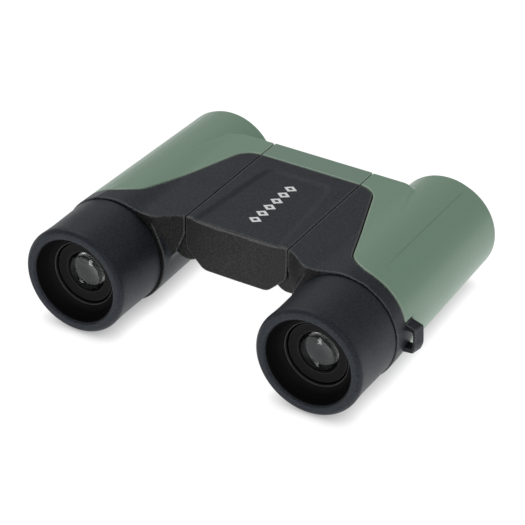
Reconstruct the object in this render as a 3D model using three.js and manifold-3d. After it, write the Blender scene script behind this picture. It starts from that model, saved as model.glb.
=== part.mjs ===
// Compact folding binoculars: a flat bridge carries two hinged barrels, each with a roof-prism
// optical train, and a focus wheel under the front of the bridge moves both objective cells.
//
// Frame, in millimetres: +X to the user's right, +Y towards the objectives, +Z up. The origin is
// midway between the barrels and midway along them, on the surface that the barrels lie on.
// "Rear" is the eyepiece end and "front" the objective end. A barrel is modelled about its own
// optical axis with local +x pointing outwards, and the left barrel is the mirror of the right.

import * as THREE from "three";
import { mergeVertices } from "three/addons/utils/BufferGeometryUtils.js";
import Module from "manifold-3d";

// ---- Driving dimensions ----
const EYE_SPACING = 74.8; // between the optical axes, fully open
const HINGE_SPACING = 33.0; // between the two hinge axes
const RIM_RADIUS = 16.1; // eyecup lip
const BARREL_REAR_RADIUS = 16.5;
const BARREL_FRONT_RADIUS = 15.35;
const AXIS_HEIGHT = BARREL_REAR_RADIUS; // the barrels lie on their black rear bands
const HINGE_RISE = 5.3; // hinge axis above the optical axis
const TOP_RISE = 15.2; // top of bridge and wings above the optical axis
const KEEL_DROP = 0.4; // underside of the bridge below the optical axis

const RIM_Y = -43.4; // rear-most edge of the eyecup lip
const SEAM_Y = -22.2; // where the eyecup meets the barrel
const BRIDGE_REAR_Y = -17.5;
const TRIM_Y = 24.9; // where black gives way to green beside the hinge
const BRIDGE_FRONT_Y = 33.2;
const FRONT_Y = 42.2; // objective end

const SEAM_GAP = 0.2; // each side of a parting line
const SKIN = 1.6; // thickness of the green shells
const BORE_RADIUS = 12.7;
const FOCUS_TRAVEL = 1.8; // each way

// ---- Worked out from them ----
const BARREL_X = EYE_SPACING / 2;
const HINGE_X = HINGE_SPACING / 2;
const HINGE_Z = AXIS_HEIGHT + HINGE_RISE;
const TOP_Z = AXIS_HEIGHT + TOP_RISE;
const KEEL_Z = AXIS_HEIGHT - KEEL_DROP;
const WING_X = HINGE_X - BARREL_X; // hinge axis in a barrel's own frame

// ---- Hinge layout: knuckles alternate along Y between end plates ----
const KNUCKLE_RADIUS = 4.8;
const RELIEF_RADIUS = 5.1;
const BRIDGE_KNUCKLES = [
  [-16.2, -9.0],
  [2.3, 9.5],
  [28.1, 31.4],
];
const WING_KNUCKLES = [
  [-8.7, 2.0],
  [9.8, 13.6],
  [24.6, 27.8],
];
const HINGE_ENDS = [-16.2, 31.4]; // relief runs between the end plates
const PIN_RADIUS = 1.6;
const PIN_SPAN = [-15.9, 9.3];
const BUSH_RADIUS = 2.2;
const BUSH_SPAN = [24.7, 31.1];
const ROD_RADIUS = 1.25;
const ROD_SPAN = [11.6, 29.0];
const RUNNING_GAP = 0.1;

const FOCUS_Z = AXIS_HEIGHT + 4.8; // focus wheel and screw axis
const FOCUS_Y = 19; // middle of the carriage at rest
const WHEEL_RADIUS = 7.2;
const WHEEL_SPAN = [26.2, 36.2];
const EYE_HALF = 1.0; // half the width of the carriage and its eyes
const ARM_SPAN = [FOCUS_Y + 2.4, FOCUS_Y + 3.4];
const SLIDE_GAP = 0.4; // spare room at each end of a slide's travel

const ROUND = 24; // sides of a large round piece
const SMALL_ROUND = 12; // sides of a small one
const MERGE_TOLERANCE = 0.005;

const wasm = await Module();
wasm.setup();

// ---- Geometry helpers ----

function solid(geometry) {
  const bare = new THREE.BufferGeometry();
  const loose = geometry.index ? geometry.toNonIndexed() : geometry;
  bare.setAttribute("position", loose.getAttribute("position"));
  const merged = mergeVertices(bare, 1e-4);
  const index = merged.index.array;
  const triangles = [];
  for (let i = 0; i < index.length; i += 3) {
    const [a, b, c] = index.slice(i, i + 3);
    if (a !== b && b !== c && c !== a) triangles.push(a, b, c);
  }
  const mesh = new wasm.Mesh({
    numProp: 3,
    vertProperties: merged.attributes.position.array,
    triVerts: new Uint32Array(triangles),
  });
  return new wasm.Manifold(mesh);
}

function geometryOf(manifold) {
  const { vertProperties, triVerts } = manifold.simplify(MERGE_TOLERANCE).getMesh();
  const geometry = new THREE.BufferGeometry();
  geometry.setAttribute("position", new THREE.BufferAttribute(vertProperties, 3));
  geometry.setIndex(new THREE.BufferAttribute(triVerts, 1));
  const flat = geometry.toNonIndexed();
  flat.computeVertexNormals();
  return flat;
}

function shapeOf(points) {
  return new THREE.Shape(points.map(([x, y]) => new THREE.Vector2(x, y)));
}

// An outline in X and Z, run along Y from `from` to `to`.
function alongY(shape, from, to, curveSegments = 4) {
  const options = { depth: to - from, bevelEnabled: false, curveSegments };
  return solid(new THREE.ExtrudeGeometry(shape, options).rotateX(Math.PI / 2).translate(0, to, 0));
}

// An outline in X and Y, run up from `from` to `to`.
function alongZ(shape, from, to, curveSegments = 4) {
  const options = { depth: to - from, bevelEnabled: false, curveSegments };
  return solid(new THREE.ExtrudeGeometry(shape, options).translate(0, 0, from));
}

// An outline in Y and Z, run across from -half to half.
function alongX(points, half) {
  const options = { depth: 2 * half, bevelEnabled: false };
  const geometry = new THREE.ExtrudeGeometry(shapeOf(points), options);
  return solid(geometry.rotateY(Math.PI / 2).rotateX(Math.PI / 2).translate(-half, 0, 0));
}

function box(x, y, z) {
  const geometry = new THREE.BoxGeometry(x[1] - x[0], y[1] - y[0], z[1] - z[0]);
  return solid(geometry.translate((x[0] + x[1]) / 2, (y[0] + y[1]) / 2, (z[0] + z[1]) / 2));
}

// A turned piece about Y. The profile lists radius and y, with the metal on its left.
function turned(profile, sides = ROUND, x = 0, z = 0) {
  const points = profile.map(([radius, y]) => new THREE.Vector2(radius, y));
  if (points[0].x > 0) points.push(points[0].clone());
  return solid(new THREE.LatheGeometry(points, sides).translate(x, 0, z));
}

// A square post round a place in X and Y.
function postAt([x, y], half, z) {
  return box([x - half, x + half], [y - half, y + half], z);
}

function rod(radius, [from, to], x = 0, z = 0, sides = SMALL_ROUND) {
  return turned([[0, from], [radius, from], [radius, to], [0, to]], sides, x, z);
}

function ring(inner, outer, [from, to], sides = ROUND) {
  return turned([[inner, from], [outer, from], [outer, to], [inner, to]], sides);
}

function joined(first, ...others) {
  return others.reduce((sum, other) => sum.add(other), first);
}

function cut(first, ...others) {
  return others.reduce((rest, other) => rest.subtract(other), first);
}

// ---- Materials ----
const plastic = (color, roughness) => {
  return new THREE.MeshStandardMaterial({ color, roughness, metalness: 0 });
};
const metal = (color, roughness) => new THREE.MeshStandardMaterial({ color, roughness, metalness: 1 });
const BLACK = plastic(0x2b2c2f, 0.6);
const INNER_BLACK = plastic(0x17181a, 0.8);
const GREEN = plastic(0x6f8c78, 0.35);
const RUBBER = plastic(0x2c2f33, 0.75);
const STEEL = metal(0xb4b7ba, 0.3);
const BRASS = metal(0xb89a58, 0.35);
const GLASS = new THREE.MeshStandardMaterial({
  color: 0xcfd8dc,
  roughness: 0.05,
  transparent: true,
  opacity: 0.35,
});

function piece(name, manifold, material) {
  const mesh = new THREE.Mesh(geometryOf(manifold), material);
  mesh.name = name;
  return mesh;
}

// ---- Bridge ----

// The chassis section: upright sides down to the hinge axes, then chamfers in to the keel.
function bridgeSection(top) {
  const side = HINGE_X - SEAM_GAP;
  const keel = side - (HINGE_Z - KEEL_Z) - 0.2;
  return shapeOf([
    [-keel, KEEL_Z],
    [keel, KEEL_Z],
    [side, HINGE_Z],
    [side, top],
    [-side, top],
    [-side, HINGE_Z],
  ]);
}

const PANEL_THICKNESS = 2.0;
const LIP_Y = BRIDGE_REAR_Y + 0.5; // the chassis shows as a thin lip behind the top panel
const SCOOP_DEPTH = 0.35;
const COVER_THICKNESS = 1.3;
const COVER_SPAN = [-15.0, 22.5];
const COVER_HALF_WIDTH = 8.6;
const SCREW_PLACES = [
  [-5.6, -12.4],
  [5.6, -12.4],
  [-5.6, 19.9],
  [5.6, 19.9],
];

// The shallow scoop in the top widens towards the rear edge and opens there.
function scoop() {
  const outline = shapeOf([
    [-13.6, BRIDGE_REAR_Y - 1],
    [13.6, BRIDGE_REAR_Y - 1],
    [10.6, 17],
    [8.6, 19.2],
    [-8.6, 19.2],
    [-10.6, 17],
  ]);
  return alongZ(outline, TOP_Z - SCOOP_DEPTH, TOP_Z + 1);
}

function bridgeChassis() {
  const top = TOP_Z - PANEL_THICKNESS - SEAM_GAP;
  const wheelRoom = WHEEL_RADIUS + 0.6;
  const wheelSpan = [WHEEL_SPAN[0] - 0.3, BRIDGE_FRONT_Y];
  const carriageReach = EYE_HALF + FOCUS_TRAVEL + SLIDE_GAP;
  const lip = box([-HINGE_X + SEAM_GAP, HINGE_X - SEAM_GAP], [BRIDGE_REAR_Y, LIP_Y], [top - 1, TOP_Z]);
  const coverPocket = box(
    [-COVER_HALF_WIDTH - SEAM_GAP, COVER_HALF_WIDTH + SEAM_GAP],
    [COVER_SPAN[0] - SEAM_GAP, COVER_SPAN[1] + SEAM_GAP],
    [KEEL_Z - 1, KEEL_Z + COVER_THICKNESS],
  );
  let body = alongY(bridgeSection(top), BRIDGE_REAR_Y, BRIDGE_FRONT_Y - SKIN - SEAM_GAP);
  body = cut(joined(body, lip), scoop());
  for (const x of [-HINGE_X, HINGE_X]) {
    body = cut(body, rod(RELIEF_RADIUS, HINGE_ENDS, x, HINGE_Z, ROUND));
    for (const span of BRIDGE_KNUCKLES) {
      const knuckle = rod(KNUCKLE_RADIUS, span, x, HINGE_Z, ROUND);
      const side = Math.sign(x);
      const root = [x - side * 6.2, x].sort((a, b) => a - b);
      const web = box(root, span, [HINGE_Z, HINGE_Z + 6]).intersect(alongY(bridgeSection(top), ...span));
      body = joined(body, knuckle, web);
    }
    body = cut(body, rod(PIN_RADIUS + RUNNING_GAP, [PIN_SPAN[0] - 0.2, 14], x, HINGE_Z));
    body = cut(body, rod(BUSH_RADIUS + RUNNING_GAP, [20, BUSH_SPAN[1] + 0.2], x, HINGE_Z));
  }
  return cut(
    body,
    box([-9, 9], [-15.8, 24.6], [KEEL_Z + COVER_THICKNESS + 1.2, TOP_Z]),
    box([-4.3, 4.3], [-10.4, 24.5], [KEEL_Z - 1, KEEL_Z + 4]),
    coverPocket,
    box([-HINGE_X, HINGE_X], [FOCUS_Y - carriageReach, FOCUS_Y + carriageReach], [HINGE_Z - 2, HINGE_Z + 2]),
    rod(wheelRoom, wheelSpan, 0, FOCUS_Z, ROUND),
    box([-wheelRoom, wheelRoom], wheelSpan, [KEEL_Z - 1, FOCUS_Z]),
    rod(2.1, [20, WHEEL_SPAN[0]], 0, FOCUS_Z),
    ...SCREW_PLACES.map((place) => postAt(place, 0.95, [KEEL_Z, KEEL_Z + 6])),
  );
}

function topPanel() {
  const side = HINGE_X - SEAM_GAP;
  const span = [LIP_Y + SEAM_GAP, TRIM_Y - SEAM_GAP];
  return cut(box([-side, side], span, [TOP_Z - PANEL_THICKNESS, TOP_Z]), scoop());
}

// A green cap over the front of the bridge, with an arch for the focus wheel.
function frontTrim() {
  const side = HINGE_X - SEAM_GAP;
  const wheelRoom = WHEEL_RADIUS + 0.6;
  const front = [BRIDGE_FRONT_Y - SKIN, BRIDGE_FRONT_Y];
  return cut(
    joined(
      box([-side, side], [TRIM_Y, BRIDGE_FRONT_Y], [TOP_Z - PANEL_THICKNESS, TOP_Z]),
      alongY(bridgeSection(TOP_Z), ...front),
    ),
    rod(wheelRoom, [TRIM_Y, FRONT_Y], 0, FOCUS_Z, ROUND),
    box([-wheelRoom, wheelRoom], [TRIM_Y, FRONT_Y], [KEEL_Z - 1, FOCUS_Z]),
  );
}

function bottomCover() {
  const height = [KEEL_Z, KEEL_Z + COVER_THICKNESS - SEAM_GAP];
  const sheet = box([-COVER_HALF_WIDTH, COVER_HALF_WIDTH], COVER_SPAN, height);
  const holes = SCREW_PLACES.map((place) => postAt(place, 1.75, [KEEL_Z - 1, KEEL_Z + 2]));
  return cut(sheet, ...holes);
}

// A pan-head screw pointing up: head below, shank above.
function coverScrew([x, y]) {
  const profile = [[0, 0], [1.6, 0], [1.6, 1.1], [0.8, 1.1], [0.8, 3.3], [0, 3.3]];
  const points = profile.map(([r, h]) => new THREE.Vector2(r, h));
  const turnedUp = new THREE.LatheGeometry(points, 12).rotateX(Math.PI / 2);
  const body = solid(turnedUp.translate(x, y, KEEL_Z + 0.1));
  return cut(body, box([x - 1.2, x + 1.2], [y - 0.25, y + 0.25], [KEEL_Z, KEEL_Z + 0.6]));
}

// ---- Focus drive ----

function focusWheel() {
  const ribs = 24;
  const outline = Array.from({ length: 2 * ribs }, (_, i) => {
    const angle = (i * Math.PI) / ribs;
    const radius = i % 2 ? WHEEL_RADIUS - 0.5 : WHEEL_RADIUS;
    return [radius * Math.cos(angle), FOCUS_Z + radius * Math.sin(angle)];
  });
  return cut(
    alongY(shapeOf(outline), ...WHEEL_SPAN),
    rod(2.1, [WHEEL_SPAN[0] - 1, WHEEL_SPAN[1] + 1], 0, FOCUS_Z),
    rod(5.4, [WHEEL_SPAN[1] - 1, WHEEL_SPAN[1] + 1], 0, FOCUS_Z),
  );
}

const focusCap = () => rod(5.2, [WHEEL_SPAN[1] - 0.8, WHEEL_SPAN[1] - 0.1], 0, FOCUS_Z, ROUND);

// The collar bears against the bulkhead behind the wheel.
function focusScrew() {
  const profile = [[0, 4], [2, 4], [2, 23.4], [3.2, 23.4], [3.2, 24.3], [2, 24.3], [2, 35], [0, 35]];
  return turned(profile, SMALL_ROUND, 0, FOCUS_Z);
}

// A crossbar with a threaded boss in the middle and an eye round each focus rod.
function focusCarriage() {
  const span = [FOCUS_Y - EYE_HALF, FOCUS_Y + EYE_HALF];
  const bar = joined(
    box([-HINGE_X, HINGE_X], span, [HINGE_Z - 1.6, HINGE_Z + 1.6]),
    rod(3.6, [FOCUS_Y - 2.2, FOCUS_Y + 2.2], 0, FOCUS_Z),
    rod(3.2, span, -HINGE_X, HINGE_Z),
    rod(3.2, span, HINGE_X, HINGE_Z),
  );
  return cut(
    bar,
    rod(2.15, [FOCUS_Y - 3, FOCUS_Y + 3], 0, FOCUS_Z),
    rod(ROD_RADIUS + 0.15, [FOCUS_Y - 3, FOCUS_Y + 3], -HINGE_X, HINGE_Z),
    rod(ROD_RADIUS + 0.15, [FOCUS_Y - 3, FOCUS_Y + 3], HINGE_X, HINGE_Z),
  );
}

// ---- Barrel, about its own optical axis ----

function barrelOuter(inset, from, to) {
  const slope = (BARREL_FRONT_RADIUS - BARREL_REAR_RADIUS) / (FRONT_Y - SEAM_Y);
  const radius = (y) => BARREL_REAR_RADIUS + slope * (y - SEAM_Y) - inset;
  return [
    [radius(from), from],
    [radius(to), to],
  ];
}

function barrelSolid(inset, from, to, shoulder = 0) {
  const [rear, front] = barrelOuter(inset, from, to);
  const start = shoulder
    ? [[0, from], [rear[0] - shoulder, from], [rear[0], from + shoulder]]
    : [[0, from], rear];
  return turned([...start, front, [0, to]]);
}

// The wing joins the hinge to the barrel. `drop` lowers its top for the core under the green shell.
function wingSection(drop = 0) {
  const inner = drop ? -8 : -6.2;
  return shapeOf([
    [WING_X + SEAM_GAP, HINGE_RISE],
    [WING_X + 2.7, HINGE_RISE - 2.6],
    [-15.6, -4.1],
    [inner, -4.1],
    [inner, TOP_RISE - drop],
    [WING_X + SEAM_GAP, TOP_RISE - drop],
  ]);
}

// Plan of the wing: its rear face sweeps back to the eyecup and its front corner is rounded.
function wingPlan(front) {
  const plan = new THREE.Shape();
  plan.moveTo(WING_X, BRIDGE_REAR_Y);
  plan.lineTo(-19, BRIDGE_REAR_Y);
  plan.bezierCurveTo(-16.6, BRIDGE_REAR_Y, -16.8, -20.2, -13.4, SEAM_Y);
  plan.lineTo(0, SEAM_Y);
  plan.lineTo(0, front - 5);
  plan.lineTo(-6.4, front - 5);
  plan.quadraticCurveTo(-6.9, front, -11.2, front);
  plan.lineTo(WING_X, front);
  return plan;
}

function wingSolid(drop, front) {
  const plan = alongZ(wingPlan(front), -20, 20, 5);
  return alongY(wingSection(drop), SEAM_Y - 1, FRONT_Y).intersect(plan);
}

// Plan of the green zone: beside the hinge, down a diagonal, then round the barrel.
function greenPlan(shift) {
  const plan = new THREE.Shape();
  plan.moveTo(WING_X - 5, TRIM_Y - shift);
  plan.lineTo(-18.9 - shift, TRIM_Y - shift);
  plan.quadraticCurveTo(-16.2 - shift, TRIM_Y - shift, -14 - shift, 19 - shift / 3);
  plan.lineTo(-4.6 - shift, -9.2 - shift / 3);
  plan.quadraticCurveTo(-2.2 - shift, -16.7 - shift, 6, -16.7 - shift);
  plan.lineTo(30, -16.7 - shift);
  plan.lineTo(30, FRONT_Y + 5);
  plan.lineTo(WING_X - 5, FRONT_Y + 5);
  return plan;
}

// The black pad that the strap lug grows from, a notch in the green zone.
const LUG_SPAN = [-16.5, -12.8];
const lugPad = (gap) => box([12, 20], [-17.5, LUG_SPAN[1] + 0.5 + gap], [-6.6 - gap, 5 + gap]);

function greenZone(shift) {
  return cut(alongZ(greenPlan(shift), -25, 25, 5), lugPad(shift ? 0 : SEAM_GAP));
}

function outerForm() {
  return joined(barrelSolid(0, SEAM_Y, FRONT_Y, 0.4), wingSolid(0, BRIDGE_FRONT_Y));
}

function frontShell() {
  const hinge = rod(RELIEF_RADIUS, HINGE_ENDS, WING_X, HINGE_RISE, ROUND);
  return cut(
    outerForm().intersect(greenZone(0)),
    barrelSolid(SKIN, SEAM_Y - 1, FRONT_Y + 1),
    wingSolid(SKIN, BRIDGE_FRONT_Y - SKIN),
    hinge,
  );
}

const LUG_OUTER = [[14.7, 3.9], [19.6, 2.75], [20.1, -2.65], [19.3, -5.1], [14.7, -5.65]];
const LUG_INNER = [[16.6, 2.2], [18.4, 1.7], [18.9, -2.3], [18.4, -3.7], [16.6, -3.9]];

function strapLug() {
  return cut(
    alongY(shapeOf([...LUG_OUTER].reverse()), ...LUG_SPAN),
    alongY(shapeOf([...LUG_INNER].reverse()), LUG_SPAN[0] - 1, LUG_SPAN[1] + 1),
  );
}

function housing() {
  const inset = SKIN + SEAM_GAP;
  const core = joined(
    barrelSolid(inset, SEAM_Y, FRONT_Y - 1.2),
    wingSolid(inset, BRIDGE_FRONT_Y - inset),
  );
  let body = joined(cut(outerForm(), greenZone(SEAM_GAP)), core);
  body = cut(body, rod(RELIEF_RADIUS, HINGE_ENDS, WING_X, HINGE_RISE, ROUND));
  for (const span of WING_KNUCKLES) {
    const web = box([WING_X, WING_X + 6.4], span, [HINGE_RISE, HINGE_RISE + 6]);
    body = joined(body, rod(KNUCKLE_RADIUS, span, WING_X, HINGE_RISE, ROUND), web);
  }
  const reach = FOCUS_TRAVEL + SLIDE_GAP - 0.1;
  const armSlot = [ARM_SPAN[0] - reach, ARM_SPAN[1] + reach];
  const lugRoom = [LUG_SPAN[0] - SEAM_GAP, LUG_SPAN[1] + SEAM_GAP];
  const lugPocket = box([14, 22], lugRoom, [-5.9, 4.2]);
  return cut(
    body,
    rod(BORE_RADIUS, [SEAM_Y - 1, FRONT_Y + 1], 0, 0, ROUND),
    rod(PIN_RADIUS + RUNNING_GAP, [PIN_SPAN[0] - 0.2, 16], WING_X, HINGE_RISE),
    rod(BUSH_RADIUS + RUNNING_GAP, [20, BUSH_SPAN[1] + 0.2], WING_X, HINGE_RISE),
    box([WING_X, -11], armSlot, [HINGE_RISE - 2, HINGE_RISE + 2]),
    lugPocket.subtract(barrelSolid(SKIN + 0.4, SEAM_Y, FRONT_Y)),
  );
}

const eyecup = () =>
  turned([
    [9.6, -37.3],
    [9.6, -35.8],
    [12.4, -35.8],
    [12.4, SEAM_Y - SEAM_GAP],
    [RIM_RADIUS, SEAM_Y - SEAM_GAP],
    [RIM_RADIUS - 0.1, -36],
    [RIM_RADIUS, -42.4],
    [RIM_RADIUS - 1, RIM_Y],
    [13.4, RIM_Y],
    [12.7, -42.7],
    [12.3, -38.8],
  ].reverse());

const eyepieceMount = () =>
  turned([[9.7, -34.6], [12.1, -34.6], [12.1, -22], [12.6, -22], [12.6, -12], [9.7, -12]]);

const eyepieceTube = () =>
  turned([[8, -37], [8.9, -37], [9.4, -36.4], [9.4, -10], [7.4, -10], [7.4, -35.2], [8, -35.2]]);

const eyeLensRing = () => turned([[6.2, -36.4], [7.8, -36.9], [7.8, -35.4], [6.2, -35.4]]);

const biconvex = (radius, rear, front, sag) =>
  turned([
    [0, rear - sag],
    [radius * 0.6, rear - sag * 0.64],
    [radius, rear],
    [radius, front],
    [radius * 0.6, front + sag * 0.64],
    [0, front + sag],
  ]);

const fieldStop = () => ring(4.6, 7.2, [-12.6, -11.4]);

// Half-pentagonal prism: entrance face square to the axis, air-gap face at 45 degrees.
const halfPentaPrism = () =>
  alongX([[-1.6, -10.6], [10.8, -5.5], [10.8, 5.5], [-1.6, -6.9]], 5.4);

// Roof prism: exit face square to the axis, air-gap face at 45 degrees, 90-degree roof on top.
function roofPrism() {
  const wedge = alongX([[-2.2, -7], [9.1, 4.3], [-2.2, 9]], 5.4);
  const slope = Math.atan2(9 - 4.3, 9.1 + 2.2);
  const roof = new THREE.BoxGeometry(18, 40, 18).rotateY(Math.PI / 4).translate(0, 0, -9 * Math.SQRT2);
  return wedge.intersect(solid(roof.rotateX(-slope).translate(0, -2.2, 9)));
}

function prismCage() {
  return cut(
    rod(12.4, [-5.5, 14.5], 0, 0, ROUND),
    rod(5.2, [-6, 15], 0, 0),
    box([-5.7, 5.7], [-3.6, 12.4], [-13, 13]),
  );
}

const objectiveCell = () =>
  turned([
    [11.2, 20.2],
    [12.4, 20.2],
    [12.4, 36.2],
    [11.4, 36.2],
    [11.4, 30.4],
    [10.4, 30],
    [10.4, 29.2],
    [11.2, 29.2],
  ]);

const objectiveRetainer = () => ring(10.4, 11.3, [34.8, 36.0]);

const objectiveBezel = () =>
  turned([
    [11.4, 38.4],
    [12.5, 38.4],
    [12.5, 41.2],
    [13.4, 41.2],
    [13.4, FRONT_Y],
    [12.1, FRONT_Y],
    [11.4, 41],
  ]);

const hingePin = () => rod(PIN_RADIUS, PIN_SPAN);

const hingeBush = () => ring(ROD_RADIUS + 0.15, BUSH_RADIUS, BUSH_SPAN, SMALL_ROUND);

// The rod slides along the hinge axis; the carriage eye rides between its two collars.
function focusRod() {
  const collars = [[-2.2, -1.3], [1.3, 2.2]].map(([a, b]) => rod(2.3, [FOCUS_Y + a, FOCUS_Y + b]));
  return joined(rod(ROD_RADIUS, ROD_SPAN), ...collars);
}

// A stamped arm from the rod to the objective cell.
function focusArm() {
  const plate = joined(
    box([WING_X, -11.5], ARM_SPAN, [HINGE_RISE - 1.4, HINGE_RISE + 1.4]),
    rod(2.4, ARM_SPAN, WING_X, HINGE_RISE),
  );
  const through = [ARM_SPAN[0] - 1, ARM_SPAN[1] + 1];
  const rodHole = rod(ROD_RADIUS + RUNNING_GAP, through, WING_X, HINGE_RISE);
  return cut(plate, rodHole, rod(12.5, through, 0, 0, ROUND));
}

function addBarrel(group, side) {
  const barrel = new THREE.Group();
  barrel.position.set(side === "right" ? BARREL_X : -BARREL_X, 0, AXIS_HEIGHT);
  barrel.scale.x = side === "right" ? 1 : -1;
  const onHinge = new THREE.Group();
  onHinge.position.set(WING_X, 0, HINGE_RISE);
  onHinge.add(
    piece(`${side}_hinge_pin`, hingePin(), STEEL),
    piece(`${side}_hinge_bush`, hingeBush(), BRASS),
    piece(`${side}_focus_rod`, focusRod(), STEEL),
  );
  barrel.add(
    onHinge,
    piece(`${side}_housing`, housing(), BLACK),
    piece(`${side}_front_shell`, frontShell(), GREEN),
    piece(`${side}_strap_lug`, strapLug(), BLACK),
    piece(`${side}_eyecup`, eyecup(), RUBBER),
    piece(`${side}_eyepiece_mount`, eyepieceMount(), INNER_BLACK),
    piece(`${side}_eyepiece_tube`, eyepieceTube(), BLACK),
    piece(`${side}_eye_lens_ring`, eyeLensRing(), BLACK),
    piece(`${side}_eye_lens`, biconvex(7.2, -34.2, -33.4, 1.7), GLASS),
    piece(`${side}_field_lens`, biconvex(7.2, -18.4, -17.4, 1.6), GLASS),
    piece(`${side}_field_stop`, fieldStop(), INNER_BLACK),
    piece(`${side}_half_penta_prism`, halfPentaPrism(), GLASS),
    piece(`${side}_roof_prism`, roofPrism(), GLASS),
    piece(`${side}_prism_cage`, prismCage(), INNER_BLACK),
    piece(`${side}_objective_cell`, objectiveCell(), INNER_BLACK),
    piece(`${side}_objective_lens`, biconvex(11.1, 31.4, 33.2, 1.3), GLASS),
    piece(`${side}_objective_retainer`, objectiveRetainer(), INNER_BLACK),
    piece(`${side}_objective_bezel`, objectiveBezel(), BLACK),
    piece(`${side}_focus_arm`, focusArm(), STEEL),
  );
  group.add(barrel);
}

const binoculars = new THREE.Group();
binoculars.add(
  piece("bridge_chassis", bridgeChassis(), BLACK),
  piece("bridge_top_panel", topPanel(), BLACK),
  piece("bridge_front_trim", frontTrim(), GREEN),
  piece("bridge_bottom_cover", bottomCover(), BLACK),
  piece("focus_wheel", focusWheel(), RUBBER),
  piece("focus_wheel_cap", focusCap(), BLACK),
  piece("focus_screw", focusScrew(), BRASS),
  piece("focus_carriage", focusCarriage(), STEEL),
);
SCREW_PLACES.forEach((place, i) => {
  binoculars.add(piece(`cover_screw_${i + 1}`, coverScrew(place), STEEL));
});
addBarrel(binoculars, "right");
addBarrel(binoculars, "left");

export default binoculars;
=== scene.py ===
# Folding pocket binoculars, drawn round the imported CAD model. Shapes are worked out in
# millimetres, as distance fields turned into meshes or as turned profiles.
import math

import bpy
import numpy as np
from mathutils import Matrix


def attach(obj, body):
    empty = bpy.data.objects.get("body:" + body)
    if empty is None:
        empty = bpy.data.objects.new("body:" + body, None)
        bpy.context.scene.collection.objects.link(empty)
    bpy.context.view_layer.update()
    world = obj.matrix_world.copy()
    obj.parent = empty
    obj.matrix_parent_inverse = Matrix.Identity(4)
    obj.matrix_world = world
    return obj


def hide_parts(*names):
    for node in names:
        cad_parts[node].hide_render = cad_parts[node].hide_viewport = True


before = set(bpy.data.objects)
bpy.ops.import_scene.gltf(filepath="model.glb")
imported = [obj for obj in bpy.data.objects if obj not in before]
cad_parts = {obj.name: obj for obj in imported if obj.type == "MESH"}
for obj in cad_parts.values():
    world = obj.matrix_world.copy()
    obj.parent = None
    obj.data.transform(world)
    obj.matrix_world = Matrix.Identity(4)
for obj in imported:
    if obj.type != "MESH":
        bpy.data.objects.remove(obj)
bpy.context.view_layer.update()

import openvdb
from mathutils import Matrix, Vector

MM = 0.001

# ---- Sizes shared with the CAD, in millimetres ----
BARREL_X = 37.4
AXIS_Z = 16.5
HINGE_X = 16.5
WING_X = HINGE_X - BARREL_X
HINGE_RISE = 5.3
TOP_RISE = 15.2
TOP_Z = AXIS_Z + TOP_RISE
HINGE_Z = AXIS_Z + HINGE_RISE
KEEL_Z = AXIS_Z - 0.4
RIM_Y, SEAM_Y, FRONT_Y = -42.9, -22.2, 42.2
BRIDGE_REAR_Y, BRIDGE_FRONT_Y, TRIM_Y = -17.5, 33.2, 24.9
REAR_RADIUS, FRONT_RADIUS = 16.5, 15.35
RELIEF_RADIUS, KNUCKLE_RADIUS = 5.1, 4.8
BRIDGE_KNUCKLES = ((-16.2, -9.0), (2.3, 9.5), (28.1, 31.4))
WING_KNUCKLES = ((-8.7, 2.0), (9.8, 13.6), (24.6, 27.8))
HINGE_ENDS = (-16.2, 31.4)
FOCUS_Z = AXIS_Z + 4.8
WHEEL_RADIUS, WHEEL_ROOM = 7.2, 7.8
HALF_SEAM = 0.13
PARTING_GAP = 0.25
SKIN = 1.5

# ---- Sizes of the looks alone, in millimetres unless said ----
STEP, HOUSING_STEP, BRIDGE_STEP, TRIM_STEP = 0.36, 0.41, 0.28, 0.32
LUG_STEP, COVER_STEP, SCREW_STEP, MOTIF_STEP = 0.2, 0.2, 0.09, 0.1
# Curvatures, per millimetre, where an edge starts to take its lighter rubbed colour, part wear and part
# painted highlight, and where it fully does.
EDGE_FROM, EDGE_FULL = 0.5, 2.2
SHARP_ANGLE = 32
SWELL_X, SWELL_Z = 0.70, 0.27
SWEEP_FROM, SWEEP_WIDTH = -20.6, 8.4
WING_ROOT, WING_TAPER_Y, WING_TAPER, WING_BLEND = 6.2, 28.2, 0.25, 1.3
WING_CHIN, WING_HEEL = (-18.2, 2.7), (-15.6, -4.1)
# The wing's rear faces, this far in from the barrel's axis and facing this steeply rearwards, take a darker
# black as painted shade.
WING_FACE_FROM, WING_FACE_TILT = 8.0, -0.55
WING_WEB, BRIDGE_WEB, WEB_HEIGHT = 6.4, 6.2, 6.0
GREEN_REAR_Y, GREEN_INNER_ROUND, GREEN_OUTER_ROUND = -16.72, 4.6, 6.3
SLANT_X, SLANT_Y, SLANT = -14.42, 20.5, 2.99
BORE_RADIUS, MOUTH_RADIUS = 12.7, 13.5
# Inside this radius, and deeper than this behind the rim, the cup takes the darker rubber that paints the
# hollow's shade.
CUP_MOUTH, CUP_FLAT = 13.1, 0.7
KEEL_HALF, KEEL_ROUND = 10.4, 0.9
BOW, BOW_HALF = 0.35, 16.3
LIP = 0.9
PANEL_THICK, TRIM_THICK = 2.0, 2.0
SCOOP_DEPTH, SCOOP_HALF, SCOOP_FLARE, SCOOP_FRONT_Y = 0.45, 10.4, 3.2, 19.0
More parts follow.
